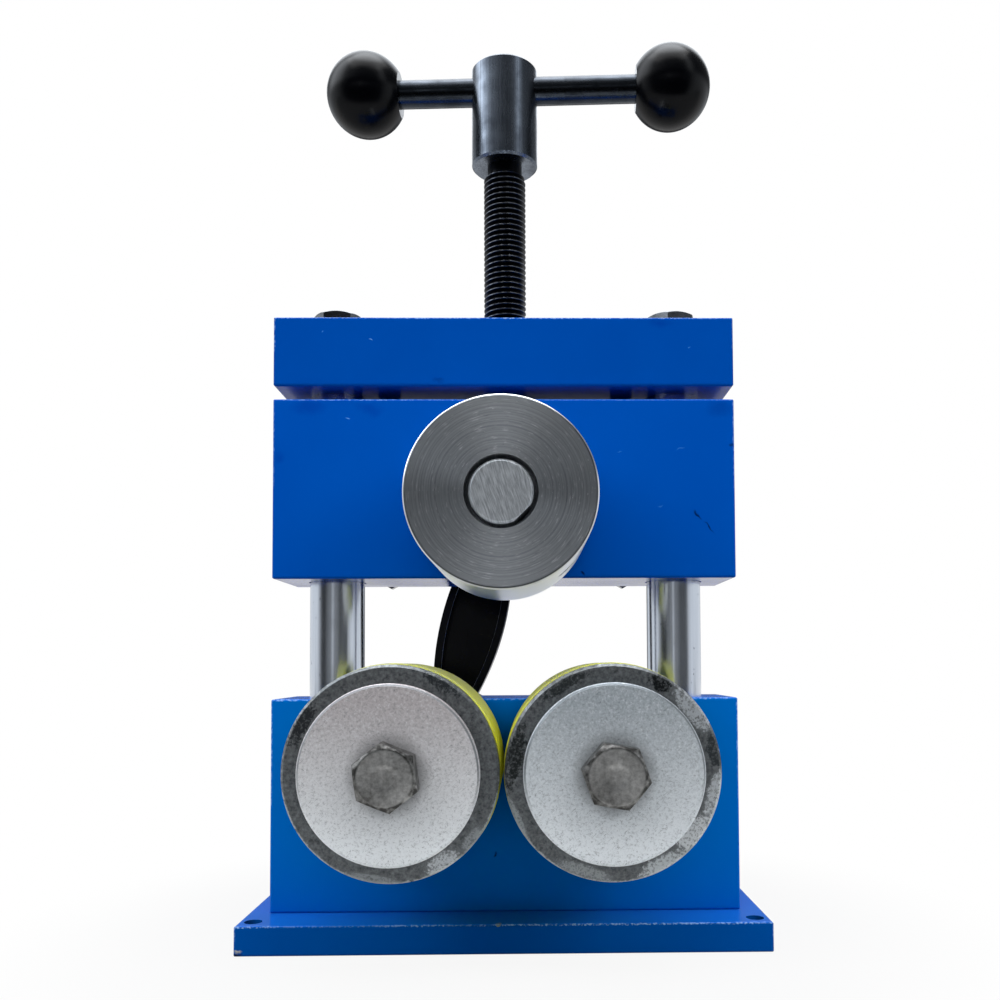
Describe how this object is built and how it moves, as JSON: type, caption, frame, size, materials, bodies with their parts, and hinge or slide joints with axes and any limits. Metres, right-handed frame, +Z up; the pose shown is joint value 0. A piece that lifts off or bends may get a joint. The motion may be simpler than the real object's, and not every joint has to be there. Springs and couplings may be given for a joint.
{
  "type": "ring bending machine",
  "caption": "Hand-cranked bench roller for bending rings and strip: a driven upper roller on a screw-fed slider presses the work between tyred lower rollers.",
  "frame": {"origin": "middle of the underside of the base plate, below the feed screw", "axes": "+X along the work to the right, +Y away from the operator along the roller axes, +Z up along the feed screw"},
  "size_m": [0.18, 0.2013, 0.3304],
  "materials": {
    "blue_enamel": "glossy blue enamel on machined steel",
    "chromed_rod": "ground and chromed",
    "turned_steel": "turned bright steel",
    "raw_steel": "dark mill finish with worn patches",
    "zinc_plate": "dull zinc plating",
    "bolt_steel": "dull plated steel",
    "black_oxide": "satin black oxide",
    "black_ball": "glossy black thermoset",
    "black_moulding": "glossy black moulding",
    "polyurethane": "cast yellow polyurethane",
    "bronze": "plain bearing bronze"
  },
  "bodies": {
    "frame": {"base_plate": "blue_enamel", "lower_block": "blue_enamel", "top_plate": "blue_enamel", "left_guide_rod": "chromed_rod", "right_guide_rod": "chromed_rod", "foot_screws": "bolt_steel", "rod_bolts": "bolt_steel", "top_plate_bolts": "bolt_steel", "left_axle_bolt": "bolt_steel", "right_axle_bolt": "bolt_steel", "left_retaining_disc": "zinc_plate", "right_retaining_disc": "zinc_plate", "left_axle_sleeve": "turned_steel", "right_axle_sleeve": "turned_steel", "left_thrust_washer": "bronze", "right_thrust_washer": "bronze"},
    "left_roller": {"left_roller_hub": "raw_steel", "left_roller_tyre": "polyurethane", "left_roller_bushes": "bronze"},
    "right_roller": {"right_roller_hub": "raw_steel", "right_roller_tyre": "polyurethane", "right_roller_bushes": "bronze"},
    "slider": {"slider_block": "blue_enamel", "rear_bearing_plate": "blue_enamel", "left_guide_bushes": "bronze", "right_guide_bushes": "bronze", "front_shaft_bush": "bronze", "rear_shaft_bush": "bronze", "shaft_thrust_washer": "bronze", "thrust_pad": "bronze", "rear_plate_bolts": "bolt_steel", "screw_keeper": "turned_steel", "keeper_screws": "black_oxide"},
    "drive": {"roller_shaft": "turned_steel", "upper_roller": "turned_steel", "roller_set_screw": "black_oxide", "crank_arm": "black_moulding", "crank_washer": "zinc_plate", "crank_bolt": "zinc_plate", "grip_spindle": "zinc_plate"},
    "grip": {"crank_grip": "black_moulding"},
    "screw": {"feed_screw": "black_oxide", "tee_hub": "black_oxide", "hub_set_screw": "black_oxide"},
    "bar": {"tommy_bar": "black_oxide", "left_ball_knob": "black_ball", "right_ball_knob": "black_ball"}
  },
  "joints": [
    {"name": "screw_turn", "type": "hinge", "parent": "slider", "child": "screw", "pos_m": [0, 0, 0.2], "axis": [0, 0, 1], "range_deg": [-5580, 0]},
    {"name": "slider_travel", "type": "slide", "parent": "frame", "child": "slider", "axis": [0, 0, 1], "range_m": [-0.031, 0]},
    {"name": "drive_spin", "type": "hinge", "parent": "slider", "child": "drive", "pos_m": [0, 0, 0.149], "axis": [0, 1, 0], "continuous": true},
    {"name": "grip_spin", "type": "hinge", "parent": "drive", "child": "grip", "pos_m": [-0.0203, 0.08, 0.07162], "axis": [0, 1, 0], "continuous": true},
    {"name": "left_roller_spin", "type": "hinge", "parent": "frame", "child": "left_roller", "pos_m": [-0.0337, -0.045, 0.0636], "axis": [0, 1, 0], "continuous": true},
    {"name": "right_roller_spin", "type": "hinge", "parent": "frame", "child": "right_roller", "pos_m": [0.0337, -0.045, 0.0636], "axis": [0, 1, 0], "continuous": true},
    {"name": "tommy_bar_slide", "type": "slide", "parent": "screw", "child": "bar", "axis": [0.9986, -0.0523, 0], "range_m": [-0.0371, 0.0271]}
  ],
  "couplings": [
    {"joint": "screw_turn", "follows": "slider_travel", "rad_per_m": 3141.6}
  ]
}
